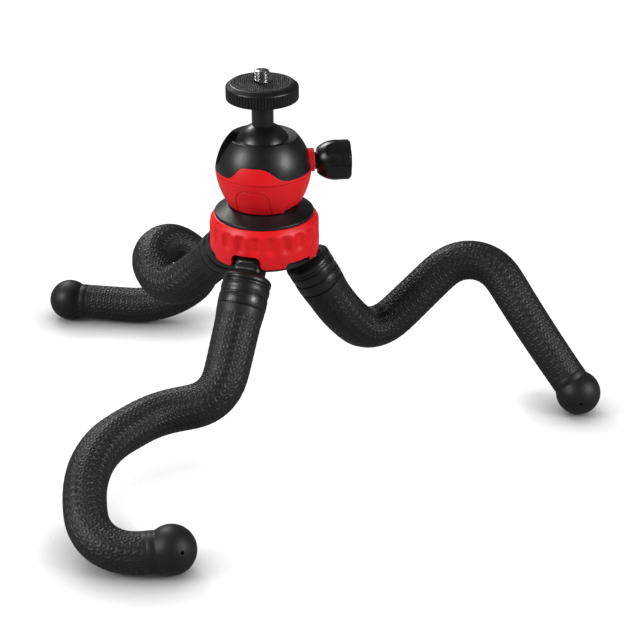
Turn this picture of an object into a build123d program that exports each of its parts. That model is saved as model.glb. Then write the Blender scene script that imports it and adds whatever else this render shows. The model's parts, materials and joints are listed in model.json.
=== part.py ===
from build123d import *
import os
from math import cos, radians, sin, sqrt, tan

# Flexible three-legged camera stand with a small ball head, in millimetres.
# The origin is on the floor under the head's own axis, and +Z is up.

# Gaps
turn_gap = 0.05        # round a shaft that turns in a bore
ball_gap = 0.1         # round the clamped ball
joint_gap = 0.3        # between leg sections where they bend
overrun = 1.0          # how far a cutter passes the face it cuts

# Legs
leg_length = 202.0     # hub hinge to the middle of the foot, along the leg
leg_azimuth = {"front": -108.8, "right": 11.2, "left": 131.2}
leg_splay = {"front": 40.1, "right": 28.9, "left": 47.0}
between_legs = 60.0    # from a leg to the middle of the gap beside it
foot_radius = 9.75
foot_neck_radius = 9.0
foot_neck_length = 9.5
foot_socket_depth = 3.0
foot_vent_radius = 0.7
foot_vent_depth = 2.0
foot_vent_tilt = 64.0    # from the leg's line
foot_vent_roll = 66.0    # round the leg's line, from its upper side
skin_radius_top = 9.8
skin_radius_tip = 7.9
core_radius = 2.0
collar_radius = 10.3
collar_end = 28.0      # hub hinge to the end of the grooved collar
shoulder_end = 17.0
shoulder_start = 15.6
shoulder_middle = 14.0
shoulder_round = 1.4     # how far in the shoulder's middle stands from the collar's outside
flare_start = 12.7
collar_wall = 3.8
core_start = 19.0
groove_width = 0.7
groove_depth = 0.5
groove_pair_gap = 1.2
groove_pitch = 4.7
tongue_width = 12.0
tongue_round_radius = 7.3
knuckle_radius = 11.4
knuckle_turn = 36.0     # how far the knuckle reaches round the hinge, from the neck's line
eye_radius = 5.5
pin_radius = 1.5
pin_length = 20.0

# The routes are corners in the leg's own frame: outward, sideways and up from
# the hub hinge, as shares of the leg's length. The first corner lies on the
# splayed line that leaves the hub, and the last one is the middle of the foot.
first_run_share = {"front": 0.341, "right": 0.207, "left": 0.209}
stand_drop_share = 0.353
route_share = {
    "front": [(0.269, -0.112, -0.272), (0.487, -0.181, -0.266), (0.668, -0.083, -0.362),
              (0.604, 0.056, -stand_drop_share)],
    "right": [(0.190, 0.043, -0.293), (0.433, 0.063, -0.070), (0.520, -0.092, -0.228),
              (0.603, -0.180, -stand_drop_share)],
    "left": [(0.240, 0.042, -0.230), (0.347, 0.032, -0.183), (0.377, -0.062, -0.164),
             (0.323, -0.152, -0.263), (0.407, -0.053, -0.361), (0.575, 0.100, -stand_drop_share)],
}
bend_share = 0.48      # how much of a run the bend at its end may use
straight_share = 0.06  # of the leg, kept straight before the foot
hinge_share = {"front": (0.334, 0.58, 0.85), "right": (0.34, 0.622, 0.827), "left": (0.38, 0.519, 0.638)}
rim_share = 0.45       # how far a section's socket rim stands back from its hinge, of the radius
axis_share = 0.03      # a hinge's axis is square to the leg's line this far before and after it

# Hub
hinge_out = 11.0       # hub axis to the leg hinges
hinge_rise = 6.0       # bottom of the ring to the leg hinges
ring_radius = 23.3
ring_bottom_radius = 22.8
ring_top_radius = 21.3
ring_height = 17.0
ring_shoulder = 2.6
core_disc_radius = 20.2
flute_count = 22
flute_width = 4.9
flute_depth = 1.0
flute_low = 6.8        # above the bottom of the ring
flute_high = 15.6
notch_width = 12.9
notch_height = 5.9
notch_corner = 2.7
notch_lip = 1.8        # rounding of the arch's lower corners
small_notch_width = 12.5
small_notch_height = 2.2
slot_width = 12.6
slot_inner = 4.6       # hub axis to the closed end of a leg slot
slot_roof_gap = 0.4
base_radius = 21.2
base_thickness = 1.5
screw_circle = 15.0
screw_radius = 1.3
screw_length = 8.0
screw_head_radius = 2.3
screw_head_height = 1.4
screw_slot_width = 0.7
top_radius = 21.0
top_lip = 1.1
top_edge = 0.5
top_height = 4.2
top_face_radius = 15.6
washer_outer = 13.5
washer_inner = 4.2
washer_thickness = 0.5
bolt_radius = 3.0
bolt_hex = 10.0        # across the flats
bolt_head_height = 3.4
bolt_proud = 1.15      # above the cup's floor

# Ball head
head_yaw = 6.0         # direction of the clamp knob, from +X
ball_radius = 12.0
ball_cover = 8.2       # from the ball to the housing's widest part
cap_height = 29.4      # bottom of the cup to the top of the cap
# Insets from the housing's widest part
cup_inset = 5.2
cup_bulge_inset = 1.3
cap_shoulder_inset = 2.0
rim_inset = 6.0
mouth_inset = 1.5      # of the mouth and the liner, from the ball's own radius
# Drops below the top of the cap
cap_shoulder_drop = 6.1
ball_drop = 6.3
wave_high_drop = 7.8
knob_drop = 12.0
wave_low_drop = 13.5
seam_drop = 15.1
cup_bulge_drop = 21.1
rim_dish = 0.6
mouth_low = 5.2        # above the middle of the ball
seam_gap = 0.3
seam_depth = 0.25
wave_crest_left = -8.5
wave_crest_right = -4.0
wave_foot_left = -17.0
wave_foot_right = 10.0
seat_floor = 4.3       # thickness of the liner below the ball
tab_width = 14.5
tab_drop = 2.8         # below the seam
tab_corner = 4.5
tab_depth = 0.3
tab_line = 0.35
tab_azimuth = -104.0
rim_notch_azimuth = -38.0
rim_notch_width = 9.0
rim_notch_height = 3.0
drop_slot_gap = 1.15   # on each side of the stem
drop_slot_sink = 1.2   # bottom arc of the slot below the middle of the ball

# Clamp
boss_radius = 5.3
boss_proud = 0.9       # beyond the housing's widest part
clamp_screw_radius = 2.5
clamp_travel = 1.2
shoe_radius = 3.4
shoe_start = 5.2
shoe_back = 5.9        # inside the end of the boss
knob_gap = 0.5         # between the boss and the knob
knob_length = 14.8
knob_back_radius = 3.6
knob_collar = 0.9
knob_shoulder_radius = 5.4
knob_middle_radius = 7.6
knob_middle = 3.4
knob_radius = 8.4
knob_full = 9.0        # from the collar to the knob's full width
knob_edge = 0.9
knob_lobes = 5
knob_scallop_radius = 7.0
knob_scallop_depth = 1.5
knob_screw_depth = 9.0

# Camera plate
stem_radius = 4.55
shank_radius = 3.0
shank_depth = 15.0
plate_height = 29.6    # top of the pad above the middle of the ball
plate_radius = 15.05
plate_thickness = 8.4
plate_edge = 0.8
plate_top_radius = 13.2
plate_top_fall = 1.5
plate_under_radius = 10.5
plate_under_rise = 1.6
knurl_count = 72
knurl_depth = 0.45
pad_radius = 12.2
pad_thickness = 1.1
pad_proud = 0.3
pad_hole_radius = 3.5
thread_radius = 3.175
thread_reach = 4.8
thread_gap = 0.1       # from the pad to the start of the thread
thread_pitch = 1.27
thread_groove = 0.5
thread_first = 1.0
thread_tip = 0.4
stud_radius = 2.5
stud_depth = 12.0

# Widths that follow from the ones above
spigot_radius = collar_radius - collar_wall
shoulder_middle_radius = collar_radius - shoulder_round
flare_radius = tongue_width / 2
housing_radius = ball_radius + ball_cover
cup_radius = housing_radius - cup_inset
cup_bulge_radius = housing_radius - cup_bulge_inset
cap_shoulder_radius = housing_radius - cap_shoulder_inset
rim_radius = housing_radius - rim_inset
mouth_radius = ball_radius - mouth_inset
drop_slot_width = 2 * (stem_radius + drop_slot_gap)

# Heights above the bottom of the cup
cup_height = cap_height - seam_drop
cup_bulge_height = cap_height - cup_bulge_drop
cup_floor = cap_height - ball_drop - ball_radius - seat_floor
wave_low = cap_height - wave_low_drop
wave_high = cap_height - wave_high_drop
tab_height = cup_height - tab_drop

# Reaches along the clamp, from the head's own axis
boss_reach = housing_radius + boss_proud
shoe_end = boss_reach - shoe_back
knob_start = boss_reach + knob_gap
knob_end = knob_start + knob_length

# Heights above the floor
hinge_z = foot_radius + stand_drop_share * leg_length
ring_z = hinge_z - hinge_rise
ring_top_z = ring_z + ring_height
top_face_z = ring_top_z + top_height
washer_top_z = top_face_z + washer_thickness
cup_z = washer_top_z + turn_gap
bolt_top_z = cup_z + cup_floor + bolt_proud
ball_z = cup_z + cap_height - ball_drop
knob_z = cup_z + cap_height - knob_drop
pad_top_z = ball_z + plate_height
plate_top_z = pad_top_z - pad_proud
plate_z = plate_top_z - plate_thickness


def turned(corners, radii=None):
    """A closed outline of (radius, height) corners, some rounded, turned about Z."""
    outline = FilletPolyline(*corners, radius=radii, close=True)
    return revolve(Plane.XZ * make_face(outline), Axis.Z)


def block(x_low, x_high, width, z_low, z_high):
    """A box from x_low to x_high and z_low to z_high, centred on the X axis."""
    middle = ((x_low + x_high) / 2, 0, (z_low + z_high) / 2)
    return Pos(*middle) * Box(x_high - x_low, width, z_high - z_low)


def rod(radius, low, high):
    """A cylinder about Z between two heights."""
    return Pos(0, 0, low) * Cylinder(radius, high - low, align=(Align.CENTER, Align.CENTER, Align.MIN))


def lying_rod(radius, x_low, x_high, height):
    """A cylinder along X between two places, at a height."""
    return Pos(x_low, 0, height) * Rot(0, 90, 0) * rod(radius, 0, x_high - x_low)


def leg_frame(leg):
    """The leg's own frame: origin on its hinge, X outward, Z up."""
    turn = radians(leg_azimuth[leg])
    outward = Vector(cos(turn), sin(turn), 0)
    return Plane(outward * hinge_out + Vector(0, 0, hinge_z), x_dir=outward, z_dir=(0, 0, 1))


def neck_frame(leg):
    """Origin on the hinge, Z along the splayed neck, X out of its upper side."""
    frame = leg_frame(leg)
    splay = radians(leg_splay[leg])
    along = frame.x_dir * sin(splay) - Vector(0, 0, cos(splay))
    upper = frame.x_dir * cos(splay) + Vector(0, 0, sin(splay))
    return Plane(frame.origin, x_dir=upper, z_dir=along)


def leg_corners(leg):
    """Corners of the leg's centre line, from the hub hinge to the foot."""
    neck = neck_frame(leg)
    first = neck.origin + neck.z_dir * (first_run_share[leg] * leg_length)
    rest = [leg_frame(leg).from_local_coords(Vector(*share) * leg_length) for share in route_share[leg]]
    return [neck.origin, first] + rest


def bend_radii(corners):
    """Each bend is as large as its two runs allow."""
    runs = [(after - before).length for before, after in zip(corners, corners[1:])]
    radii = []
    for i in range(1, len(corners) - 1):
        before = runs[i - 1] * bend_share if i > 1 else runs[0] - collar_end - groove_pitch
        after = runs[i] * bend_share if i < len(runs) - 1 else runs[i] - straight_share * leg_length
        turn = radians((corners[i] - corners[i - 1]).get_angle(corners[i + 1] - corners[i]))
        radii.append(min(before, after) / tan(turn / 2))
    return radii


def leg_path(leg):
    """The leg's centre line: straight runs joined by tangent arcs."""
    corners = leg_corners(leg)
    return FilletPolyline(*corners, radius=bend_radii(corners))


def skin_radius(share):
    """The leg narrows from its collar to its foot."""
    return skin_radius_top + (skin_radius_tip - skin_radius_top) * share


def frame_at(path, share):
    """A plane square to the path, at a share of its length."""
    return Plane(origin=path @ share, z_dir=path % share)


def tube(path, outer, inner, start, end):
    """A round bar or tube along the path between two shares, one run or arc at a time."""
    section = Circle(outer) - Circle(inner) if inner else Circle(outer)
    pieces = [sweep(Plane(origin=edge @ 0, z_dir=edge % 0) * section, path=edge)
              for edge in path.trim(start, end).edges()]
    bar = pieces[0]
    for piece in pieces[1:]:
        bar += piece
    return bar


def rounded_back(radius):
    """Half ball round the core, that closes the start of a leg section."""
    depth = sqrt(radius ** 2 - core_radius ** 2)
    halfway = radius / sqrt(2)
    outline = [
        Line((core_radius, 0), (radius, 0)),
        ThreePointArc((radius, 0), (halfway, -halfway), (core_radius, -depth)),
        Line((core_radius, -depth), (core_radius, 0)),
    ]
    return revolve(Plane.XZ * make_face(outline), Axis.Z)


def leg_sections(leg):
    """Skin and core of each leg section, with ball and socket ends at the bends."""
    path = leg_path(leg)
    length = path.length
    starts = (collar_end / length,) + hinge_share[leg]
    ends = hinge_share[leg] + (1 - foot_socket_depth / length,)
    radii = [skin_radius((start + end) / 2) for start, end in zip(starts, ends)]
    skins, cores = [], []
    for i, (start, end, radius) in enumerate(zip(starts, ends, radii)):
        back = frame_at(path, start)
        if end == ends[-1]:
            skin = tube(path, radius, core_radius, start, end)
            core = tube(path, core_radius, 0, start, end)
        else:
            socket = radii[i + 1] + joint_gap
            skin = tube(path, radius, core_radius, start, end - rim_share * radii[i + 1] / length)
            skin -= frame_at(path, end) * Sphere(socket)
            core_end = end - (socket + core_radius) / length
            core = tube(path, core_radius, 0, start if i else core_start / length, core_end)
        if i:
            skin += back * rounded_back(radius)
            core += back * rod(core_radius, -sqrt(radius ** 2 - core_radius ** 2), 0)
        skins.append(skin)
        cores.append(core)
    return skins, cores


def leg_neck(leg):
    """Rigid end of the leg: hinge eye, tongue, shoulder and the spigot inside the collar."""
    knuckle = radians(knuckle_turn)
    outline = Polyline((-eye_radius, 0), (-eye_radius, shoulder_start), (eye_radius, shoulder_start),
                       (knuckle_radius * sin(knuckle), knuckle_radius * cos(knuckle)),
                       (eye_radius, eye_radius / tan(knuckle)), (eye_radius, 0), close=True)
    tongue = make_face(outline) + Circle(eye_radius)
    tongue = extrude(Plane.XZ * tongue, amount=tongue_width / 2, both=True)
    tongue &= rod(tongue_round_radius, -eye_radius, shoulder_start)
    dome = [
        Line((0, flare_start), (flare_radius, flare_start)),
        ThreePointArc((flare_radius, flare_start), (shoulder_middle_radius, shoulder_middle),
                      (collar_radius, shoulder_start)),
        Line((collar_radius, shoulder_start), (collar_radius, shoulder_end)),
        Line((collar_radius, shoulder_end), (spigot_radius, shoulder_end)),
        Line((spigot_radius, shoulder_end), (spigot_radius, collar_end)),
        Line((spigot_radius, collar_end), (0, collar_end)),
        Line((0, collar_end), (0, flare_start)),
    ]
    shoulder = revolve(Plane.XZ * make_face(dome), Axis.Z)
    eye = Rot(90, 0, 0) * rod(pin_radius + turn_gap, -tongue_width, tongue_width)
    socket = rod(core_radius, core_start, collar_end + overrun)
    return neck_frame(leg) * (tongue + shoulder - eye - socket)


def leg_collar(leg):
    """Sleeve over the neck's spigot, with its ring grooves."""
    sleeve = rod(collar_radius, shoulder_end, collar_end) - rod(spigot_radius, shoulder_end, collar_end)
    grooves = [shoulder_end + groove_pair_gap, shoulder_end + groove_pitch,
               shoulder_end + groove_pitch + groove_pair_gap]
    for place in grooves:
        ring = rod(collar_radius + overrun, place, place + groove_width)
        sleeve -= ring - rod(collar_radius - groove_depth, place, place + groove_width)
    return neck_frame(leg) * sleeve


def leg_foot(leg):
    """Ball foot with a short neck over the end of the skin, and a vent in its side."""
    path = leg_path(leg)
    length = path.length
    tip = frame_at(path, 1)
    ball = tip * (Sphere(foot_radius) + rod(foot_neck_radius, -foot_neck_length, 0))
    start = hinge_share[leg][-1]
    end = 1 - foot_socket_depth / length
    radius = skin_radius((start + end) / 2)
    socket = rod(radius, -foot_neck_length - overrun, -foot_socket_depth)
    vent = rod(foot_vent_radius, foot_radius - foot_vent_depth, foot_radius + overrun)
    level = tip.z_dir.cross(Vector(0, 0, 1)).normalized()
    upper = level.cross(tip.z_dir)
    tilt, roll = radians(foot_vent_tilt), radians(foot_vent_roll)
    across = level * sin(roll) + upper * cos(roll)
    side = Plane(tip.origin, z_dir=tip.z_dir * cos(tilt) + across * sin(tilt))
    return ball - tip * socket - side * vent


def round_hub(thing, offset=0):
    """Copies of a thing on the X axis, one at each leg's direction plus an offset."""
    return [Rot(0, 0, azimuth + offset) * thing for azimuth in leg_azimuth.values()]


def hub_ring():
    """Red grip ring: flutes, a deep arch over each leg and a shallow one between."""
    low, high = ring_z, ring_top_z
    ring = turned([(core_disc_radius, low), (ring_bottom_radius, low), (ring_radius, low + ring_shoulder),
                   (ring_radius, high - ring_shoulder), (ring_top_radius, high), (core_disc_radius, high)],
                  [0, 0, ring_shoulder, ring_shoulder, 0, 0])
    cutter_radius = (flute_width ** 2 / 4 + flute_depth ** 2) / (2 * flute_depth)
    middle = ring_radius - flute_depth + cutter_radius
    flute = rod_at(middle, cutter_radius, low + flute_low, low + flute_high)
    ring -= [Rot(0, 0, 360 / flute_count * i) * flute for i in range(flute_count)]
    ring -= round_hub(arch(notch_width, notch_height, notch_corner, notch_lip))
    small_corner = small_notch_height / 2
    small_arch = arch(small_notch_width, small_notch_height, small_corner, small_corner)
    return ring - round_hub(small_arch, between_legs)


def arch(width, height, corner, lip):
    """Cutter for an arch in the ring's lower edge, its corners rounded above and below."""
    half, reach = width / 2, lip + overrun
    outline = FilletPolyline((-half - reach, -overrun), (half + reach, -overrun), (half + reach, 0),
                             (half, 0), (half, height), (-half, height), (-half, 0), (-half - reach, 0),
                             radius=[0, 0, 0, lip, corner, corner, lip, 0], close=True)
    through = ring_radius + overrun
    return Pos(hinge_out, 0, ring_z) * extrude(Plane.YZ * make_face(outline), amount=through - hinge_out)


def leg_slot():
    """Room in the hub for one leg's eye and tongue."""
    roof = hinge_z + eye_radius + slot_roof_gap
    return block(slot_inner, ring_radius + overrun, slot_width, ring_z - base_thickness - overrun, roof)


def hub_core():
    """Black core inside the ring, with a slot and a pin bore for each leg."""
    disc = rod(core_disc_radius, ring_z, ring_top_z)
    disc -= round_hub(leg_slot())
    disc -= round_hub(hinge_pin())
    screw = rod_at(screw_circle, screw_radius, ring_z - overrun, ring_z + screw_length)
    return disc - round_hub(screw, between_legs)


def rod_at(out, radius, low, high):
    """An upright cylinder on the X axis, away from the hub's middle."""
    return Pos(out, 0, 0) * rod(radius, low, high)


def hinge_pin():
    """Pin that carries one leg, along its hinge."""
    return Pos(hinge_out, 0, hinge_z) * Rot(90, 0, 0) * rod(pin_radius, -pin_length / 2, pin_length / 2)


def hub_base_plate():
    """Black plate under the hub, slotted for the legs."""
    low = ring_z - base_thickness
    plate = rod(base_radius, low, ring_z)
    plate -= round_hub(leg_slot())
    screw = rod_at(screw_circle, screw_radius, low - overrun, ring_z + overrun)
    return plate - round_hub(screw, between_legs)


def base_screw():
    """Slotted screw that holds the base plate."""
    seat = ring_z - base_thickness
    low = seat - screw_head_height
    screw = rod_at(screw_circle, screw_head_radius, low, seat)
    screw += rod_at(screw_circle, screw_radius, seat, ring_z + screw_length)
    reach = screw_circle + screw_head_radius + overrun
    return screw - block(screw_circle - screw_head_radius - overrun, reach, screw_slot_width, low - overrun,
                         low + screw_head_height / 2)


def hub_top_plate():
    """Black cone that the ball head stands on, with a lip round its edge."""
    low, high = ring_top_z, top_face_z
    plate = turned([(0, low), (top_radius, low), (top_radius, low + top_lip), (top_face_radius, high),
                    (0, high)], [0, 0, top_edge, top_lip, 0])
    return plate - hex_head() - rod(bolt_radius, low, high + overrun)


def hex_head():
    """Head of the bolt in the underside of the cone."""
    outline = RegularPolygon(bolt_hex / 2, 6, major_radius=False)
    return Pos(0, 0, ring_top_z) * extrude(outline, bolt_head_height)


def head_bolt():
    """Hexagon bolt that the ball head turns on."""
    return hex_head() + rod(bolt_radius, ring_top_z + bolt_head_height, bolt_top_z)


def pan_washer():
    """Thin friction washer between the cone and the ball head."""
    return rod(washer_outer, top_face_z, washer_top_z) - rod(washer_inner, top_face_z, washer_top_z)


def housing(inset=0):
    """Outside of the ball head's housing, filled, or a little narrower."""
    z = cup_z
    widest = (housing_radius - inset, z + (cup_height + wave_low) / 2)
    rim = (rim_radius - inset, z + cap_height)
    lip = (mouth_radius - inset, z + cap_height - rim_dish)
    outline = [
        Line((0, z), (cup_radius - inset, z)),
        ThreePointArc((cup_radius - inset, z), (cup_bulge_radius - inset, z + cup_bulge_height), widest),
        ThreePointArc(widest, (cap_shoulder_radius - inset, z + cap_height - cap_shoulder_drop), rim),
        Line(rim, lip),
        Line(lip, (0, z + cap_height - rim_dish)),
        Line((0, z + cap_height - rim_dish), (0, z)),
    ]
    return revolve(Plane.XZ * make_face(outline), Axis.Z)


def ball_room():
    """Hollow for the ball, open at the mouth."""
    room = Pos(0, 0, ball_z) * Sphere(ball_radius + ball_gap)
    return room + rod(mouth_radius, ball_z + mouth_low, cup_z + cap_height + overrun)


def boss():
    """Round boss that the clamp screw passes through."""
    return lying_rod(boss_radius, 0, boss_reach, knob_z)


def clamp_bore():
    """Bore for the clamp screw, with a wider end for the shoe."""
    screw = lying_rod(clamp_screw_radius + turn_gap, 0, boss_reach + overrun, knob_z)
    return screw + lying_rod(shoe_radius + turn_gap, 0, shoe_end + clamp_travel + joint_gap, knob_z)


def wave_block(z_low):
    """Everything above a height and below the wavy edge of the red band."""
    left, right = -boss_reach - overrun, boss_reach + overrun
    low, high = cup_z + wave_low, cup_z + wave_high
    top_left, top_right = wave_crest_left, wave_crest_right
    foot_left, foot_right = wave_foot_left, wave_foot_right
    outline = [
        Line((left, z_low), (right, z_low)),
        Line((right, z_low), (right, low)),
        Line((right, low), (foot_right, low)),
        Bezier((foot_right, low), ((foot_right + top_right) / 2, low), ((foot_right + top_right) / 2, high),
               (top_right, high)),
        Line((top_right, high), (top_left, high)),
        Bezier((top_left, high), ((foot_left + top_left) / 2, high), ((foot_left + top_left) / 2, low),
               (foot_left, low)),
        Line((foot_left, low), (left, low)),
        Line((left, low), (left, z_low)),
    ]
    return extrude(Plane.XZ * make_face(outline), amount=boss_reach + overrun, both=True)


def on_head(shape):
    """Turn a head piece to the direction of its clamp knob."""
    return Rot(0, 0, head_yaw) * shape


def drop_slot():
    """Slot that lets the stem lie down for an upright picture."""
    reach = housing_radius + overrun
    low = ball_z - drop_slot_sink
    slot = block(-reach, 0, drop_slot_width, low, cup_z + cap_height + overrun)
    return slot + lying_rod(drop_slot_width / 2, -reach, 0, low)


def head_cup():
    """Lower red half of the housing, threaded onto the bolt."""
    seam = cup_z + cup_height
    cup = housing() & rod(housing_radius + overrun, cup_z, seam)
    cup -= rod(mouth_radius, cup_z + cup_floor, seam + overrun)
    cup -= rod(bolt_radius + turn_gap, cup_z - overrun, cup_z + cup_floor + overrun)
    cup -= Rot(0, 0, tab_azimuth - head_yaw) * tab_groove()
    notch = block(0, cup_radius + overrun, rim_notch_width, cup_z - overrun, cup_z + rim_notch_height)
    inside = rod(cup_radius - rim_notch_height / 2, cup_z - overrun, cup_z + rim_notch_height)
    return on_head(cup - Rot(0, 0, rim_notch_azimuth - head_yaw) * (notch - inside) - clamp_bore())


def tab_groove():
    """Fine line of a bare arch-topped tab on the cup, facing +X."""
    def tab(inset):
        half, top = tab_width / 2 - inset, tab_height - inset
        outline = FilletPolyline((-half, -overrun), (half, -overrun), (half, top), (-half, top),
                                 radius=[0, 0, tab_corner - inset, tab_corner - inset], close=True)
        return extrude(Plane.YZ * make_face(outline), amount=housing_radius + overrun)
    return Pos(0, 0, cup_z) * (tab(0) - tab(tab_line)) - housing(tab_depth)


def head_band():
    """Upper red part of the housing, with the wavy edge and the boss for the clamp."""
    seam = cup_z + cup_height
    band = housing() & wave_block(seam)
    groove = rod(housing_radius + overrun, seam, seam + seam_gap)
    band -= groove - rod(housing_radius - seam_depth, seam, seam + seam_gap)
    band += boss() & rod(boss_reach + overrun, seam, cup_z + cap_height)
    return on_head(band - ball_room() - clamp_bore() - drop_slot())


def head_cap():
    """Black upper part of the housing, with the mouth and the drop slot."""
    seam = cup_z + cup_height
    cap = housing() & rod(housing_radius + overrun, seam, cup_z + cap_height + overrun)
    return on_head(cap - wave_block(seam - overrun) - boss() - ball_room() - drop_slot() - clamp_bore())


def ball_seat():
    """Plastic liner that the ball rests in."""
    low, high = cup_z + cup_floor, cup_z + cup_height
    seat = rod(mouth_radius, low, high) - rod(bolt_radius + turn_gap, low - overrun, high)
    return on_head(seat - Pos(0, 0, ball_z) * Sphere(ball_radius + turn_gap) - clamp_bore())


def ball():
    """Ball that the housing clamps, bored for the stem."""
    top = ball_z + ball_radius
    return Pos(0, 0, ball_z) * Sphere(ball_radius) - rod(shank_radius + turn_gap, top - shank_depth, top)


def ball_stem():
    """Stem between the ball and the camera plate."""
    bottom = ball_z + ball_radius - shank_depth + turn_gap
    stem = rod(stem_radius, ball_z, plate_z) - Pos(0, 0, ball_z) * Sphere(ball_radius + turn_gap)
    stem += rod(shank_radius, bottom, plate_z)
    return stem - rod(stud_radius, plate_z - stud_depth, plate_z)


def camera_plate():
    """Round plate under the camera, with a knurled edge."""
    low, high = plate_z, plate_top_z
    plate = turned([(0, low), (plate_under_radius, low), (plate_radius, low + plate_under_rise),
                    (plate_radius, high - plate_top_fall), (plate_top_radius, high), (0, high)],
                   [0, 0, plate_edge, plate_edge, plate_edge, 0])
    knurl_low, knurl_high = low + plate_under_rise, high - plate_top_fall - plate_edge / 2
    size = sqrt(2) * knurl_depth
    groove = Box(size, size, knurl_high - knurl_low)
    groove = Pos(plate_radius, 0, (knurl_low + knurl_high) / 2) * Rot(0, 0, 45) * groove
    plate -= [Rot(0, 0, 360 / knurl_count * i) * groove for i in range(knurl_count)]
    plate -= rod(pad_radius, pad_top_z - pad_thickness, high + overrun)
    return plate - rod(stud_radius, low - overrun, high + overrun)


def grip_pad():
    """Rubber pad that the camera stands on."""
    low = pad_top_z - pad_thickness
    return rod(pad_radius, low, pad_top_z) - rod(pad_hole_radius, low, pad_top_z)


def camera_screw():
    """Standard camera thread, shown as ring grooves, on a stud down into the stem."""
    high = pad_top_z + thread_reach
    screw = rod(thread_radius, pad_top_z + thread_gap, high - thread_tip)
    screw += Pos(0, 0, high - thread_tip) * Cone(thread_radius, thread_radius - thread_tip, thread_tip,
                                                 align=(Align.CENTER, Align.CENTER, Align.MIN))
    for i in range(int((thread_reach - thread_tip) / thread_pitch)):
        place = high - thread_tip - thread_first - thread_pitch * i - thread_groove
        ring = rod(thread_radius + overrun, place, place + thread_groove)
        screw -= ring - rod(thread_radius - thread_groove, place, place + thread_groove)
    return screw + rod(stud_radius, plate_z - stud_depth, pad_top_z + thread_gap)


def clamp_shoe():
    """Shoe that the clamp screw presses against the ball."""
    shoe = lying_rod(shoe_radius, shoe_start, shoe_end, knob_z)
    return on_head(shoe - Pos(0, 0, ball_z) * Sphere(ball_radius + turn_gap))


def clamp_screw():
    """Screw between the shoe and the knob."""
    screw = lying_rod(clamp_screw_radius, shoe_end + turn_gap, knob_start + knob_screw_depth, knob_z)
    return on_head(screw)


def clamp_knob():
    """Knob with flat-sided lobes that flare out from a small flange."""
    collar = knob_start + knob_collar
    full = collar + knob_full
    outline = [
        Line((0, knob_start), (knob_back_radius, knob_start)),
        Line((knob_back_radius, knob_start), (knob_back_radius, collar)),
        Line((knob_back_radius, collar), (knob_shoulder_radius, collar)),
        ThreePointArc((knob_shoulder_radius, collar), (knob_middle_radius, collar + knob_middle),
                      (knob_radius, full)),
        Line((knob_radius, full), (knob_radius, knob_end - knob_edge)),
        Line((knob_radius, knob_end - knob_edge), (knob_radius - knob_edge, knob_end)),
        Line((knob_radius - knob_edge, knob_end), (0, knob_end)),
        Line((0, knob_end), (0, knob_start)),
    ]
    knob = revolve(Plane.XZ * make_face(outline), Axis.Z)
    scallop = Pos(knob_radius - knob_scallop_depth + knob_scallop_radius, 0, 0)
    scallop *= rod(knob_scallop_radius, collar + knob_middle, knob_end + overrun)
    knob -= [Rot(0, 0, 360 / knob_lobes * i) * scallop for i in range(knob_lobes)]
    knob -= rod(clamp_screw_radius, knob_start - overrun, knob_start + knob_screw_depth)
    return on_head(Pos(0, 0, knob_z) * Rot(0, 90, 0) * knob)


def report_hinges():
    """Print the place and axis of every leg hinge, in metres."""
    for leg, azimuth in leg_azimuth.items():
        path = leg_path(leg)
        print(leg, "length", round(path.length, 1), "bend radii",
              [round(radius, 1) for radius in bend_radii(leg_corners(leg))])
        hub = leg_frame(leg)
        print("hinge", leg, 1, *[round(value, 6) for value in (*(hub.origin / 1000), *(hub.y_dir * -1))])
        for i, share in enumerate(hinge_share[leg]):
            axis = (path % (share + axis_share)).cross(path % (share - axis_share)).normalized()
            print("hinge", leg, i + 2, *[round(value, 6) for value in (*(path @ share / 1000), *axis)])


def write(name, shape):
    """Write one node."""
    solids = shape if isinstance(shape, list) else [shape]
    export_step(Compound(children=list(solids)) if len(solids) > 1 else solids[0], f"parts/{name}.step")


os.makedirs("parts", exist_ok=True)
write("hub_ring", hub_ring())
write("hub_core", hub_core())
write("hub_top_plate", hub_top_plate())
write("hub_base_plate", hub_base_plate())
write("base_screws", round_hub(base_screw(), between_legs))
write("leg_hinge_pins", round_hub(hinge_pin()))
write("head_bolt", head_bolt())
write("pan_washer", pan_washer())
write("head_cup", head_cup())
write("head_band", head_band())
write("head_cap", head_cap())
write("ball_seat", ball_seat())
write("ball", ball())
write("ball_stem", ball_stem())
write("camera_plate", camera_plate())
write("grip_pad", grip_pad())
write("camera_screw", camera_screw())
write("clamp_shoe", clamp_shoe())
write("clamp_screw", clamp_screw())
write("clamp_knob", clamp_knob())
for leg in leg_azimuth:
    write(f"leg_{leg}_neck", leg_neck(leg))
    write(f"leg_{leg}_collar", leg_collar(leg))
    write(f"leg_{leg}_foot", leg_foot(leg))
    leg_skins, leg_cores = leg_sections(leg)
    for number, (skin, core) in enumerate(zip(leg_skins, leg_cores), 1):
        write(f"leg_{leg}_skin_{number}", skin)
        write(f"leg_{leg}_core_{number}", core)
report_hinges()
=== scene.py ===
import json
import math

import bmesh
import bpy
import numpy as np
from mathutils import Matrix, Vector
from mathutils.geometry import interpolate_bezier


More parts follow.
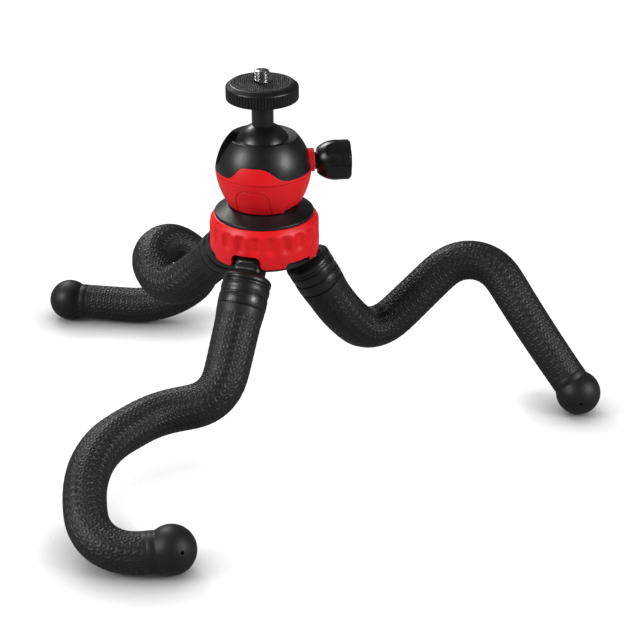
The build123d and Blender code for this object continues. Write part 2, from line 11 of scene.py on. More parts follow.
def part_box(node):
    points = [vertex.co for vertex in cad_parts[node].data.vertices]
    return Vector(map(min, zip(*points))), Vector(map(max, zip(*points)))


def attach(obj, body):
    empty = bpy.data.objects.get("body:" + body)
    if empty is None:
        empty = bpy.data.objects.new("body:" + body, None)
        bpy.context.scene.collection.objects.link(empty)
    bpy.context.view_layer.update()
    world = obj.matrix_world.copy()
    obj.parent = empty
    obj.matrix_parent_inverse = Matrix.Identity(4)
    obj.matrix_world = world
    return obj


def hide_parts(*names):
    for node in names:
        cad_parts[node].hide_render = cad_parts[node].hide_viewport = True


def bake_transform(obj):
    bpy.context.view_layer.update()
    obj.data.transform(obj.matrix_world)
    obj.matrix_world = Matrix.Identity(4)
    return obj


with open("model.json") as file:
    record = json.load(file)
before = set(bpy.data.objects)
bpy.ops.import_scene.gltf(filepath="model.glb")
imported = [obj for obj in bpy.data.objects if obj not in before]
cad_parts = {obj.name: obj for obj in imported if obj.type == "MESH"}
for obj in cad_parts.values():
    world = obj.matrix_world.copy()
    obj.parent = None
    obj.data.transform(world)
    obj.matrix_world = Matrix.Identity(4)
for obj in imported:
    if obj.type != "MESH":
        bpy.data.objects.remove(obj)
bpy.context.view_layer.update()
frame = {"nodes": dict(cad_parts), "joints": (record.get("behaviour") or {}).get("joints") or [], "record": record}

# Sizes are in metres, as the frame's are
MM = 0.001
record_joints = {joint["name"]: joint for joint in frame["joints"]}

# Camera: where it stands, how far down it looks, and its lens in picture widths
CAMERA_PLACE = (0.0236, -0.635, 0.364)
CAMERA_DOWN = 27
SENSOR_WIDTH = 36
LENS_WIDTHS = 1629 / 640

# Studio: name, place, size and power of each lamp
LAMPS = [
    ("left_box", (-0.86, -0.42, 0.62), 0.44, 8.5),
    ("right_box", (0.88, -0.46, 0.54), 0.38, 8.0),
    ("back_box", (-0.42, 0.78, 0.78), 0.42, 6.5),
]
LAMP_TARGET = (0, 0, 0.08)
WORLD_LIGHT = 0.09
WORLD_SEEN = 1.0                 # the white that the camera sees behind the floor
FLOOR_SIZE = 3.0
FLOOR_LIFT = 0.92                # glow that brings the floor up to white for the camera
FLOOR_SEEN = (0.25, 0.25, 0.25)  # floor's own colour under that glow, which carries the shadows
FLOOR_BOUNCE = (0.3, 0.3, 0.3)   # floor's colour as it lights the object
PAINTED_SHADOW_REACH = 20 * MM          # reach of the painted contact shadow: how near the floor a piece darkens its glow
# how quickly the painted contact shadow deepens towards a piece
PAINTED_SHADOW_POWER = 2.0

# Meshes in general
WELD = 0.001 * MM                # points closer than this become one
SPIN_WELD = 0.002 * MM
SHARP_ANGLE = 30
ROUND_STEPS = 96                 # steps round a neck, collar or foot

# Legs: routes as shares of the leg's length, outward, sideways and up from the hub hinge
LEG_LENGTH = 202 * MM
LEG_AZIMUTH = {"front": -108.8, "right": 11.2, "left": 131.2}
LEG_SPLAY = {"front": 40.1, "right": 28.9, "left": 47.0}
FIRST_RUN_SHARE = {"front": 0.341, "right": 0.207, "left": 0.209}
ROUTE_SHARES = {
    "front": [(0.269, -0.112, -0.272), (0.487, -0.181, -0.266),
              (0.668, -0.083, -0.362), (0.604, 0.056, -0.353)],
    "right": [(0.190, 0.043, -0.293), (0.433, 0.063, -0.070),
              (0.520, -0.092, -0.228), (0.603, -0.180, -0.353)],
    "left": [(0.240, 0.042, -0.230), (0.347, 0.032, -0.183), (0.377, -0.062, -0.164),
             (0.323, -0.152, -0.263), (0.407, -0.053, -0.361), (0.575, 0.100, -0.353)],
}
BEND_SHARE = 0.48                # part of a run that its bends may take at one end
STRAIGHT_SHARE = 0.06            # straight stretch kept at the foot
COLLAR_END = 28 * MM
BEND_START = 32.7 * MM           # the first bend may start here
FOOT_RADIUS = 9.75 * MM
PATH_STEP = 0.25 * MM
PATH_SOFTNESS = 3.5 * MM         # how far a bend's start is eased

# Rubber skin and its moulded rings
SKIN_ROOT_RADIUS = 10.15 * MM
SKIN_TOP_RADIUS = 9.75 * MM
SKIN_TIP_RADIUS = 8.0 * MM
SKIN_EASE_END = 36 * MM
SKIN_STEP = 0.26 * MM
SKIN_AROUND = 230
RING_ROWS = 20
RING_PITCH = 2.9 * MM
RING_RADIUS = 0.92 * MM
RING_WIDTH = 0.25 * MM
RING_DEPTH = 0.28 * MM
RING_DISH = 0.07 * MM            # hollow inside each ring
RING_CLEAR = 2.6 * MM            # smooth band below the collar and above the foot
CREASE_DEPTH = 0.3 * MM          # squeezed lines on the inside of a bend
CREASE_START = 0.25
CREASE_FULL = 0.6
SKIN_TUCK = 4 * MM               # from the foot's middle to the skin's end inside it

# Neck: tongue, shoulder dome and spigot, from the hub hinge along the leg
EYE_RADIUS = 5.5 * MM
EYE_ROUND = 7.3 * MM
TONGUE_HALF = 6.15 * MM
TONGUE_POWER = 6                 # the higher, the squarer the tongue
TONGUE_BLEND = 0.6 * MM
EYE_END = 0.15 * MM              # how far short of the eye's top the neck starts
KNUCKLE_START = 7.6 * MM
KNUCKLE_TOP = 9.2 * MM
KNUCKLE_PROUD = 1.15 * MM
KNUCKLE_FADE = 1 * MM
DOME_MIDDLE = 15.8 * MM
DOME_DEPTH = 3.6 * MM
DOME_BLEND = 2.4 * MM
CORE_START = 19.0 * MM
CORE_RADIUS = 2.0 * MM
PIN_BORE = 1.55 * MM
NECK_STEP = 0.3 * MM

# Red grip ring, its heights above its lower edge
RING_BORE = 20.2 * MM
GRIP_RADIUS = 23.3 * MM
GRIP_LOW_RADIUS = 22.8 * MM
GRIP_TOP_RADIUS = 21.3 * MM
GRIP_SHOULDER = 2.6 * MM
GRIP_ROUNDING = 0.9 * MM
GRIP_ROWS = 58
BORE_SKIP = 0.5 * MM             # points this near the bore aren't fluted
FLUTES = 22
FLUTE_STEPS = 24
FLUTE_WIDTH = 4.9 * MM
FLUTE_DEPTH = 0.9 * MM
FLUTE_LOW = 6.8 * MM
FLUTE_HIGH = 15.4 * MM
FLUTE_ROUNDING = 0.45 * MM
FLUTE_ENDS = 2.4 * MM
ARCH = (12.9 * MM, 5.9 * MM, 2.7 * MM, 1.8 * MM)    # width, height, corner, lip
SMALL_ARCH = (12.5 * MM, 2.2 * MM, 1.1 * MM, 1.1 * MM)
ARCH_START = 17 * MM
ARCH_PAST = 1 * MM               # how far the cutter passes the ring
ARCH_STEPS = 8
BETWEEN_LEGS = 60

# Camera stud and its right-hand thread
STUD_RADIUS = 2.5 * MM
THREAD_RADIUS = 3.175 * MM
THREAD_PITCH = 1.27 * MM
THREAD_DEPTH = 0.62 * MM
THREAD_GAP = 0.1 * MM
THREAD_TIP = 0.45 * MM
THREAD_STEP = 0.08 * MM
THREAD_AROUND = 64
THREAD_CREST = 0.2               # share of the pitch where a groove starts to deepen
THREAD_ROOT = 0.85               # and where it is at its deepest

# Grooved collar, from the hub hinge along the leg
COLLAR_START = 17.0 * MM
COLLAR_RADIUS = 10.3 * MM
SPIGOT_RADIUS = 6.5 * MM
GROOVE_PLACES = (0.2 * MM, 4.6 * MM)
LIP_WIDTH = 0.75 * MM
GROOVE_WIDTH = 0.6 * MM
GROOVE_DEPTH = 0.55 * MM
LIP_DROP = 0.2 * MM
COLLAR_EDGE = 0.16 * MM

# Ball foot, from its middle back along the leg
FOOT_SLEEVE = 9.0 * MM
SLEEVE_RADIUS = 8.12 * MM
SLEEVE_EDGE = 0.12 * MM
WAIST_START = 7.0 * MM
BALL_START = 4.9 * MM
WAIST_STEPS = 10
BALL_STEPS = 28
VENT_RADIUS = 0.7 * MM
VENT_DEPTH = 2.0 * MM
VENT_TILT = 64                   # from the leg's line
VENT_ROLL = 66                   # round the leg's line, from its upper side
DRILL_AROUND = 24

# Camera plate's rubber pad
PAD_HOLE = 3.5 * MM
STUD_PITCH = 1.15 * MM
STUD_DEPTH = 0.34 * MM
STUD_EDGE = (-0.2, 0.6)          # where a stud's side starts and ends, as a cosine
PAD_RINGS = 56
PAD_AROUND = 420


def leg_corners(leg):
    """Corners of the leg's middle line: hub hinge, end of the neck's run, and the route."""
    hinge = Vector(record_joints[f"leg_{leg}_splay"]["pos_m"])
    azimuth, splay = math.radians(LEG_AZIMUTH[leg]), math.radians(LEG_SPLAY[leg])
    outward = Vector((math.cos(azimuth), math.sin(azimuth), 0))
    sideways = Vector((-math.sin(azimuth), math.cos(azimuth), 0))
    up = Vector((0, 0, 1))
    neck = outward * math.sin(splay) - up * math.cos(splay)
    corners = [hinge, hinge + neck * FIRST_RUN_SHARE[leg] * LEG_LENGTH]
    for out, side, rise in ROUTE_SHARES[leg]:
        corners.append(hinge + (outward * out + sideways * side + up * rise) * LEG_LENGTH)
    return corners


def rounded_route(corners):
    """Points along straight runs joined by tangent arcs."""
    runs = [(after - before).length for before, after in zip(corners, corners[1:])]
    points = [corners[0]]
    for i in range(1, len(corners) - 1):
        before = runs[i - 1] * BEND_SHARE if i > 1 else runs[0] - BEND_START
        last = i == len(runs) - 1
        after = runs[i] - STRAIGHT_SHARE * LEG_LENGTH if last else runs[i] * BEND_SHARE
        reach = min(before, after)
        come = (corners[i] - corners[i - 1]).normalized()
        leave = (corners[i + 1] - corners[i]).normalized()
        turn = come.angle(leave)
        radius = reach / math.tan(turn / 2)
        start = corners[i] - come * reach
        inward = (leave - come * come.dot(leave)).normalized()
        steps = max(4, int(turn * radius / PATH_STEP))
        for step in range(steps + 1):
            angle = turn * step / steps
            points.append(start + come * radius * math.sin(angle)
                          + inward * radius * (1 - math.cos(angle)))
    points.append(corners[-1])
    return np.array([list(point) for point in points])


class CentreLine:
    """The leg's middle line at even steps, with a frame at each step that doesn't twist."""

    def __init__(self, leg):
        route = rounded_route(leg_corners(leg))
        steps = np.linalg.norm(np.diff(route, axis=0), axis=1)
        travelled = np.concatenate([[0], np.cumsum(steps)])
        self.length = travelled[-1]
        count = int(self.length / PATH_STEP) + 1
        self.s = np.linspace(0, self.length, count)
        even = [np.interp(self.s, travelled, route[:, i]) for i in range(3)]
        self.points = self.eased(np.stack(even, axis=1))
        tangents = np.gradient(self.points, axis=0)
        self.tangents = tangents / np.linalg.norm(tangents, axis=1)[:, None]
        self.normals = self.carried_normals()
        self.sides = np.cross(self.tangents, self.normals)
        self.bends = np.gradient(self.tangents, self.s, axis=0)

    def eased(self, points):
        """Average nearby points so that a run turns gently into its bend."""
        half = int(3 * PATH_SOFTNESS / PATH_STEP)
        offsets = np.arange(-half, half + 1) * PATH_STEP
        weights = np.exp(-0.5 * (offsets / PATH_SOFTNESS) ** 2)
        weights /= weights.sum()
        start = 2 * points[0] - points[half:0:-1]
        end = 2 * points[-1] - points[-2:-half - 2:-1]
        padded = np.concatenate([start, points, end])
        soft = [np.convolve(padded[:, i], weights, mode="valid") for i in range(3)]
        return np.stack(soft, axis=1)

    def carried_normals(self):
        """The upper side at the hub, carried along the line without twist."""
        normal = np.cross(self.tangents[0], np.cross([0, 0, 1.0], self.tangents[0]))
        normals = []
        for tangent in self.tangents:
            normal = normal - tangent * (normal @ tangent)
            normal = normal / np.linalg.norm(normal)
            normals.append(normal)
        return np.array(normals)

    def at(self, s, values=None):
        """Places on the line, or other values along it, at given lengths."""
        values = self.points if values is None else values
        return np.stack([np.interp(s, self.s, values[:, i]) for i in range(3)], axis=-1)

    def nearest(self, place):
        """How far along the line a place is."""
        return self.s[np.argmin(np.linalg.norm(self.points - np.array(place), axis=1))]


def smooth_step(value, low, high):
    """A share from 0 to 1 that leaves and arrives gently."""
    share = np.clip((value - low) / (high - low), 0, 1)
    return share * share * (3 - 2 * share)


def skin_radius(s, length):
    """The skin is widest at the collar and narrows to the foot."""
    share = SKIN_TIP_RADIUS - SKIN_TOP_RADIUS
    taper = SKIN_TOP_RADIUS + share * (s - COLLAR_END) / (length - COLLAR_END)
    ease = 1 - smooth_step(s, COLLAR_END, SKIN_EASE_END)
    return taper + (SKIN_ROOT_RADIUS - SKIN_TOP_RADIUS) * ease


def ring_relief(s, turn, radius, length):
    """Depth of the moulded rings, which lie in staggered rows."""
    row = turn * RING_ROWS
    nearest = np.full(s.shape, 1.0)
    for offset in (-1, 0, 1):
        line = np.round(row) + offset
        stagger = 0.5 * (line % 2)
        along = s / RING_PITCH - stagger
        along = (along - np.round(along)) * RING_PITCH
        across = (row - line) * 2 * np.pi * radius / RING_ROWS
        nearest = np.minimum(nearest, np.hypot(along, across))
    groove = RING_DEPTH * np.exp(-((nearest - RING_RADIUS) / RING_WIDTH) ** 2)
    groove = np.where(nearest < RING_RADIUS, np.maximum(groove, RING_DISH), groove)
    fade = smooth_step(s, COLLAR_END + RING_CLEAR, COLLAR_END + 2 * RING_CLEAR)
    fade = fade * (1 - smooth_step(s, length - FOOT_SLEEVE - RING_CLEAR, length - FOOT_SLEEVE))
    return groove * fade


def crease_relief(s, squeeze):
    """Depth of the lines where the inside of a bend is squeezed together."""
    wave = 0.5 - 0.5 * np.cos(4 * np.pi * s / RING_PITCH)
    return CREASE_DEPTH * wave * smooth_step(squeeze, CREASE_START, CREASE_FULL)


def finish_mesh(bm, name, material, smooth=True):
    """Turn a bmesh into an object with its place in its mesh."""
    mesh = bpy.data.meshes.new(name)
    for face in bm.faces:
        face.smooth = smooth
    bm.to_mesh(mesh)
    bm.free()
    piece = bpy.data.objects.new(name, mesh)
    bpy.context.collection.objects.link(piece)
    mesh.materials.append(material)
    return piece


def skin_piece(leg, number, line, start, end, material):
    """A stretch of the leg's rubber skin, closed at both ends."""
    rows = int((end - start) / SKIN_STEP)
    bm = bmesh.new()
    uv = bm.loops.layers.uv.new("UVMap")
    bmesh.ops.create_grid(bm, x_segments=rows, y_segments=SKIN_AROUND, size=0.5,
                          calc_uvs=True)
    flat = np.array([vert.co[:] for vert in bm.verts])
    s = start + (flat[:, 0] + 0.5) * (end - start)
    turn = flat[:, 1] + 0.5
    radius = skin_radius(s, line.length)
    angle = turn * 2 * np.pi
    outward = (np.cos(angle)[:, None] * line.at(s, line.normals)
               + np.sin(angle)[:, None] * line.at(s, line.sides))
    squeeze = radius * np.sum(outward * line.at(s, line.bends), axis=1)
    rings = ring_relief(s, turn, radius, line.length)
    radius = radius - rings - crease_relief(s, squeeze)
    places = line.at(s) + radius[:, None] * outward
    for vert, place in zip(bm.verts, places):
        vert.co = place
    for face in bm.faces:
        for loop in face.loops:
            share = loop[uv].uv
            along = start + share[0] * (end - start)
            loop[uv].uv = (along / RING_PITCH, share[1] * RING_ROWS)
    bmesh.ops.remove_doubles(bm, verts=bm.verts, dist=WELD)
    rims = [edge for edge in bm.edges if edge.is_boundary]
    bmesh.ops.holes_fill(bm, edges=rims, sides=0)
    bmesh.ops.recalc_face_normals(bm, faces=bm.faces)
    piece = finish_mesh(bm, f"leg_{leg}_skin_piece_{number}", material)
    for polygon in piece.data.polygons:
        if polygon.loop_total > 4:
            polygon.use_smooth = False
    return piece


def spun(profile, closed, steps, edge=0.0):
    """Turn an outline of (radius, height) points about Z, and round corners if asked."""
    bm = bmesh.new()
    verts = [bm.verts.new((radius, 0, height)) for radius, height in profile]
    pairs = list(zip(verts, verts[1:])) + ([(verts[-1], verts[0])] if closed else [])
    edges = [bm.edges.new(pair) for pair in pairs]
    bmesh.ops.spin(bm, geom=verts + edges, cent=(0, 0, 0), axis=(0, 0, 1), angle=2 * math.pi,
                   steps=steps, use_merge=True, use_duplicate=False)
    bmesh.ops.remove_doubles(bm, verts=bm.verts, dist=SPIN_WELD)
    bmesh.ops.recalc_face_normals(bm, faces=bm.faces)
    if edge:
        sharp = [line for line in bm.edges if len(line.link_faces) == 2
                 and line.calc_face_angle() > math.radians(SHARP_ANGLE)]
        bmesh.ops.bevel(bm, geom=sharp, offset=edge, offset_type="OFFSET", segments=2,
                        profile=0.5, affect="EDGES", material=-1)
    return bm


def set_on(bm, origin, along, upper=None):
    """Stand a spun shape on a place, its Z axis along a direction and its X axis along another."""
    along = Vector(along).normalized()
    if upper is None:
        turn = along.to_track_quat("Z", "Y").to_matrix()
    else:
        upper = Vector(upper).normalized()
        turn = Matrix((upper, along.cross(upper), along)).transposed()
    bm.transform(Matrix.Translation(Vector(origin)) @ turn.to_4x4())


def soft_max(one, other, blend):
    """The larger of two values, rounded where they meet."""
    near = np.clip(blend - np.abs(one - other), 0, None) / blend
    return np.maximum(one, other) + near * near * blend / 4


def neck_radius(turn, z):
    """Reach of the neck from the leg's line, at an angle from its upper side."""
    half = np.sqrt(np.clip(EYE_RADIUS ** 2 - np.clip(-z, 0, None) ** 2, 0, None))
    fade = KNUCKLE_TOP - KNUCKLE_START + KNUCKLE_FADE
    swell = KNUCKLE_PROUD * (1 - smooth_step(np.abs(z - KNUCKLE_TOP), 0, fade))
    thick = half + np.where(np.cos(turn) > 0, swell, 0)
    wide = np.full(z.shape, TONGUE_HALF)
    box = (np.abs(np.cos(turn) / thick) ** TONGUE_POWER
           + np.abs(np.sin(turn) / wide) ** TONGUE_POWER) ** (-1 / TONGUE_POWER)
    tongue = -soft_max(-box, np.full(z.shape, -EYE_ROUND), TONGUE_BLEND)
    dome = COLLAR_RADIUS * np.sqrt(np.clip(1 - ((DOME_MIDDLE - z) / DOME_DEPTH) ** 2, 0, None))
    dome = np.where(z > DOME_MIDDLE, COLLAR_RADIUS, dome)
    return np.minimum(soft_max(tongue, dome, DOME_BLEND), COLLAR_RADIUS)


def neck_piece(leg, line, material):
    """Tongue in the hub, the shoulder it swells into, and the spigot inside the collar."""
    heights = np.arange(-EYE_RADIUS + EYE_END, COLLAR_START - NECK_STEP / 2, NECK_STEP)
    profile = [(TONGUE_HALF, height) for height in heights]
    profile += [(COLLAR_RADIUS, COLLAR_START), (SPIGOT_RADIUS, COLLAR_START),
                (SPIGOT_RADIUS, COLLAR_END), (CORE_RADIUS, COLLAR_END),
                (CORE_RADIUS, CORE_START), (0, CORE_START)]
    bm = spun(profile, False, ROUND_STEPS)
    for vert in bm.verts:
        x, y, z = vert.co
        if z < COLLAR_START - NECK_STEP / 2:
            turn = math.atan2(y, x)
            reach = neck_radius(np.array([turn]), np.array([z]))[0]
            vert.co = (reach * math.cos(turn), reach * math.sin(turn), z)
    rims = [edge for edge in bm.edges if edge.is_boundary]
    bmesh.ops.holes_fill(bm, edges=rims, sides=0)
    bmesh.ops.recalc_face_normals(bm, faces=bm.faces)
    set_on(bm, line.points[0], line.tangents[0], line.normals[0])
    piece = finish_mesh(bm, f"leg_{leg}_neck_piece", material)
    drill(piece, line.points[0], line.sides[0], PIN_BORE, 2 * TONGUE_HALF)
    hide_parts(f"leg_{leg}_neck")
    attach(piece, f"leg_{leg}_1")


def grip_radius(z):
    """Outside of the grip ring at a height above its lower edge."""
    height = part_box("hub_ring")[1][2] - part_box("hub_ring")[0][2]
    low = GRIP_LOW_RADIUS + (GRIP_RADIUS - GRIP_LOW_RADIUS) * z / GRIP_SHOULDER
    top = GRIP_TOP_RADIUS + (GRIP_RADIUS - GRIP_TOP_RADIUS) * (height - z) / GRIP_SHOULDER
    side = np.full(z.shape, GRIP_RADIUS)
    return -soft_max(soft_max(-low, -side, GRIP_ROUNDING / 2), -top, GRIP_ROUNDING)


def arch_cutter(bm, size, azimuth, low):
    """Add an arch in the ring's lower edge, stretched outward, to a cutter."""
    width, height, corner, lip = size
    half, reach = width / 2, ARCH_PAST
    outline = [(half + lip + reach, -reach), (half + lip + reach, 0)]
    for i in range(ARCH_STEPS + 1):
        turn = math.radians(270 - 90 * i / ARCH_STEPS)
        outline.append((half + lip + lip * math.cos(turn), lip + lip * math.sin(turn)))
    for i in range(ARCH_STEPS + 1):
        turn = math.radians(90 * i / ARCH_STEPS)
        outline.append((half - corner + corner * math.cos(turn),
                        height - corner + corner * math.sin(turn)))
    outline += [(-across, up) for across, up in reversed(outline)]
    spin = Matrix.Rotation(math.radians(azimuth), 4, "Z")
    verts = [bm.verts.new(spin @ Vector((ARCH_START, across, low + up)))
             for across, up in outline]
    face = bm.faces.new(verts)
    made = bmesh.ops.extrude_face_region(bm, geom=[face])["geom"]
    moved = [item for item in made if isinstance(item, bmesh.types.BMVert)]
    outward = spin @ Vector((GRIP_RADIUS + reach - ARCH_START, 0, 0))
    bmesh.ops.translate(bm, verts=moved, vec=outward)


def ring_piece(material):
    """Red grip ring with soft flutes, a deep arch over each leg and a shallow one between."""
    low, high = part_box("hub_ring")
    heights = np.linspace(0, high[2] - low[2], GRIP_ROWS)
    profile = [(radius, low[2] + z) for radius, z in zip(grip_radius(heights), heights)]
    profile += [(RING_BORE, high[2]), (RING_BORE, low[2])]
    bm = spun(profile, True, FLUTES * FLUTE_STEPS)
    for vert in bm.verts:
        radius, z = math.hypot(vert.co.x, vert.co.y), vert.co.z - low[2]
        if radius < RING_BORE + BORE_SKIP:
            continue
        turn = math.atan2(vert.co.y, vert.co.x) * FLUTES / (2 * math.pi)
        across = (turn - round(turn)) * 2 * math.pi * GRIP_RADIUS / FLUTES
        depth = FLUTE_DEPTH * (1 - (2 * across / FLUTE_WIDTH) ** 2)
        depth = soft_max(depth, 0, FLUTE_ROUNDING)
        depth *= smooth_step(z, FLUTE_LOW - FLUTE_ENDS / 2, FLUTE_LOW + FLUTE_ENDS)
        depth *= 1 - smooth_step(z, FLUTE_HIGH - FLUTE_ENDS, FLUTE_HIGH)
        share = (radius - depth) / radius
        vert.co.x, vert.co.y = vert.co.x * share, vert.co.y * share
    piece = finish_mesh(bm, "ring_piece", material)
    bm = bmesh.new()
    for azimuth in LEG_AZIMUTH.values():
        arch_cutter(bm, ARCH, azimuth, low[2])
        arch_cutter(bm, SMALL_ARCH, azimuth + BETWEEN_LEGS, low[2])
    bmesh.ops.recalc_face_normals(bm, faces=bm.faces)
    cut_away(piece, finish_mesh(bm, "arches", material, smooth=False))
    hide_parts("hub_ring")
    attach(piece, "hub")


def stud_piece(material):
    """Camera stud with its thread, on a plain shank down into the stem."""
    low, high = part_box("camera_screw")
    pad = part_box("grip_pad")[1][2]
    start, end = pad + THREAD_GAP, high[2]
    heights = np.arange(start + THREAD_STEP, end - THREAD_STEP / 2, THREAD_STEP)
    profile = [(0, low[2]), (STUD_RADIUS, low[2]), (STUD_RADIUS, start)]
    profile += [(THREAD_RADIUS, height) for height in heights]
    profile += [(THREAD_RADIUS - THREAD_TIP, end), (0, end)]
    bm = spun(profile, False, THREAD_AROUND)
    for vert in bm.verts:
        x, y, z = vert.co
        if not start + THREAD_STEP / 2 < z < end - THREAD_STEP / 2:
            continue
        turn = math.atan2(y, x)
        phase = (z - start) / THREAD_PITCH - turn / (2 * math.pi)
        root = 1 - abs(2 * (phase - math.floor(phase)) - 1)
        radius = THREAD_RADIUS - THREAD_DEPTH * smooth_step(root, THREAD_CREST, THREAD_ROOT)
        radius = min(radius, THREAD_RADIUS - THREAD_TIP + (end - z))
        vert.co.x, vert.co.y = radius * math.cos(turn), radius * math.sin(turn)
    piece = finish_mesh(bm, "stud_piece", material)
    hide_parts("camera_screw")
    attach(piece, "camera_plate")


def curve_points(start, lean_start, lean_end, end, count):
    """Points along a smooth curve between two places."""
    places = [Vector((*place, 0)) for place in (start, lean_start, lean_end, end)]
    return [(point.x, point.y) for point in interpolate_bezier(*places, count)]


def collar_piece(leg, line, material):
    """Grooved sleeve between the neck and the skin, with a thin lip beside each groove."""
    outer, inner = COLLAR_RADIUS, SPIGOT_RADIUS
    profile = [(inner, COLLAR_START), (outer - LIP_DROP, COLLAR_START)]
    for place in GROOVE_PLACES:
        low = COLLAR_START + place + LIP_WIDTH
        profile += [(outer - LIP_DROP, low), (outer - GROOVE_DEPTH, low),
                    (outer - GROOVE_DEPTH, low + GROOVE_WIDTH), (outer, low + GROOVE_WIDTH)]
        if place != GROOVE_PLACES[-1]:
            step = COLLAR_START + GROOVE_PLACES[-1]
            profile += [(outer, step - LIP_WIDTH), (outer - LIP_DROP, step - LIP_WIDTH)]
    profile += [(outer, COLLAR_END - GROOVE_WIDTH),
                (outer - GROOVE_DEPTH, COLLAR_END - GROOVE_WIDTH),
                (outer - GROOVE_DEPTH, COLLAR_END), (inner, COLLAR_END)]
    bm = spun(profile, True, ROUND_STEPS, COLLAR_EDGE)
    set_on(bm, line.points[0], line.tangents[0])
    piece = finish_mesh(bm, f"leg_{leg}_collar_piece", material)
    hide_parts(f"leg_{leg}_collar")
    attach(piece, f"leg_{leg}_1")


def foot_piece(leg, line, material):
    """Smooth ball foot with a sleeve over the end of the skin, and its vent hole."""
    ball_radius_there = math.sqrt(FOOT_RADIUS ** 2 - BALL_START ** 2)
    lean = (WAIST_START - BALL_START) / 2
    slope = BALL_START / ball_radius_there
    profile = [(0, -FOOT_SLEEVE), (SLEEVE_RADIUS - SLEEVE_EDGE, -FOOT_SLEEVE),
               (SLEEVE_RADIUS, -FOOT_SLEEVE + SLEEVE_EDGE)]
    profile += curve_points((SLEEVE_RADIUS, -WAIST_START), (SLEEVE_RADIUS, -WAIST_START + lean),
                            (ball_radius_there - lean * slope, -BALL_START - lean),
                            (ball_radius_there, -BALL_START), WAIST_STEPS)
    start = math.asin(-BALL_START / FOOT_RADIUS)
    for step in range(1, BALL_STEPS + 1):
        angle = start + (math.pi / 2 - start) * step / BALL_STEPS
        profile.append((FOOT_RADIUS * math.cos(angle), FOOT_RADIUS * math.sin(angle)))
    bm = spun(profile, False, ROUND_STEPS)
    along = Vector(line.tangents[-1])
    set_on(bm, line.points[-1], along)
    piece = finish_mesh(bm, f"leg_{leg}_foot_piece", material)
    level = along.cross((0, 0, 1)).normalized()
    upper = level.cross(along)
    tilt, roll = math.radians(VENT_TILT), math.radians(VENT_ROLL)
    across = level * math.sin(roll) + upper * math.cos(roll)
    vent = along * math.cos(tilt) + across * math.sin(tilt)
    mouth = Vector(line.points[-1]) + vent * FOOT_RADIUS
    drill(piece, mouth, vent, VENT_RADIUS, VENT_DEPTH)
    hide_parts(f"leg_{leg}_foot")
    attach(piece, f"leg_{leg}_4")


def drill(piece, place, direction, radius, depth):
    """Cut a round blind hole into a piece."""
    bm = bmesh.new()
    bmesh.ops.create_cone(bm, cap_ends=True, segments=DRILL_AROUND, radius1=radius,
                          radius2=radius, depth=2 * depth)
    set_on(bm, place, direction)
    cut_away(piece, finish_mesh(bm, "drill", piece.data.materials[0], smooth=False))


def cut_away(piece, cutter):
    """Cut one mesh out of another, and keep the result."""
    cut = piece.modifiers.new("cut", "BOOLEAN")
    cut.operation = "DIFFERENCE"
    cut.object = cutter
    bpy.context.view_layer.update()
    seen = piece.evaluated_get(bpy.context.evaluated_depsgraph_get())
    mesh = bpy.data.meshes.new_from_object(seen)
    piece.modifiers.clear()
    piece.data = mesh
    bpy.data.objects.remove(cutter)


def pad_piece(material):
    """Rubber pad with rows of small square studs."""
    low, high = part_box("grip_pad")
    outer = (high[0] - low[0]) / 2
    top = [(PAD_HOLE + (outer - PAD_HOLE) * i / PAD_RINGS, high[2])
           for i in range(PAD_RINGS + 1)]
    bm = spun([(PAD_HOLE, low[2])] + top + [(outer, low[2])], True, PAD_AROUND)
    for vert in bm.verts:
        x, y, z = vert.co
        studded = PAD_HOLE < math.hypot(x, y) < outer - STUD_PITCH / 2
        if z > high[2] - STUD_DEPTH and studded:
            across = math.cos(2 * math.pi * (x + y) / STUD_PITCH / math.sqrt(2))
            back = math.cos(2 * math.pi * (x - y) / STUD_PITCH / math.sqrt(2))
            vert.co.z = z - STUD_DEPTH * smooth_step(-min(across, back), *STUD_EDGE)
    piece = finish_mesh(bm, "pad_piece", material)
    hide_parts("grip_pad")
    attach(piece, "camera_plate")


def new_material(name, colour, roughness, metallic=0.0, specular=0.5):
    """A material with its shader's own values set."""
    material = bpy.data.materials.new(name)
    material.use_nodes = True
    shader = material.node_tree.nodes["Principled BSDF"]
    shader.inputs["Base Color"].default_value = (*colour, 1)
    shader.inputs["Roughness"].default_value = roughness
    shader.inputs["Metallic"].default_value = metallic
    shader.inputs["Specular IOR Level"].default_value = specular
    return material


def add_grain(material, scale, depth, rounding=0.0, strength=1.0):
    """Fine bumps on a finish, and a small rounding where its faces meet."""
    nodes, links = material.node_tree.nodes, material.node_tree.links
    place = nodes.new("ShaderNodeTexCoord")
    grain = nodes.new("ShaderNodeTexNoise")
    grain.inputs["Scale"].default_value = scale
    grain.inputs["Detail"].default_value = 4
    links.new(place.outputs["Object"], grain.inputs["Vector"])
    bump = nodes.new("ShaderNodeBump")
    bump.inputs["Strength"].default_value = strength
    bump.inputs["Distance"].default_value = depth
    links.new(grain.outputs["Fac"], bump.inputs["Height"])
    if rounding:
        corner = nodes.new("ShaderNodeBevel")
        corner.samples = 4
        corner.inputs["Radius"].default_value = rounding
        links.new(corner.outputs["Normal"], bump.inputs["Normal"])
    links.new(bump.outputs["Normal"], nodes["Principled BSDF"].inputs["Normal"])


